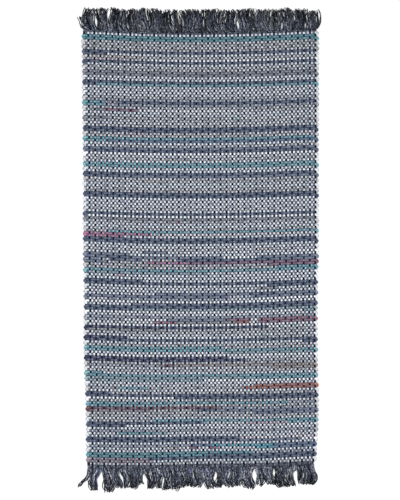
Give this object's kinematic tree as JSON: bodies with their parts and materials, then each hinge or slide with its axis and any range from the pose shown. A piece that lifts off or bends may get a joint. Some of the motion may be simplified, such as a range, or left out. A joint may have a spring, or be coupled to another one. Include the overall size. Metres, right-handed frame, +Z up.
{
  "type": "flat-woven rag rug with a fringe at both ends",
  "caption": "Flat rectangular floor rug, plain-woven from cotton rags in uneven grey, white, navy, teal, pink and rust stripes, with a dark heading and cut fringe at both short ends.",
  "frame": {"origin": "on the floor, in the middle of the whole outline, fringes and all", "axes": "+Z up from the underside, +Y along the length towards the far fringe, +X across the width"},
  "size_m": [0.832, 1.668, 0.008],
  "materials": {
    "rag_weave": "plain weave of cotton jersey rag strips through grey, blue and navy yarn, matt",
    "warp_yarn": "dark slate twisted cotton yarn, matt and slightly hairy"
  },
  "bodies": {
    "root": {"woven_cloth": "rag_weave", "fringe_far_end": "warp_yarn", "fringe_near_end": "warp_yarn"}
  },
  "joints": []
}
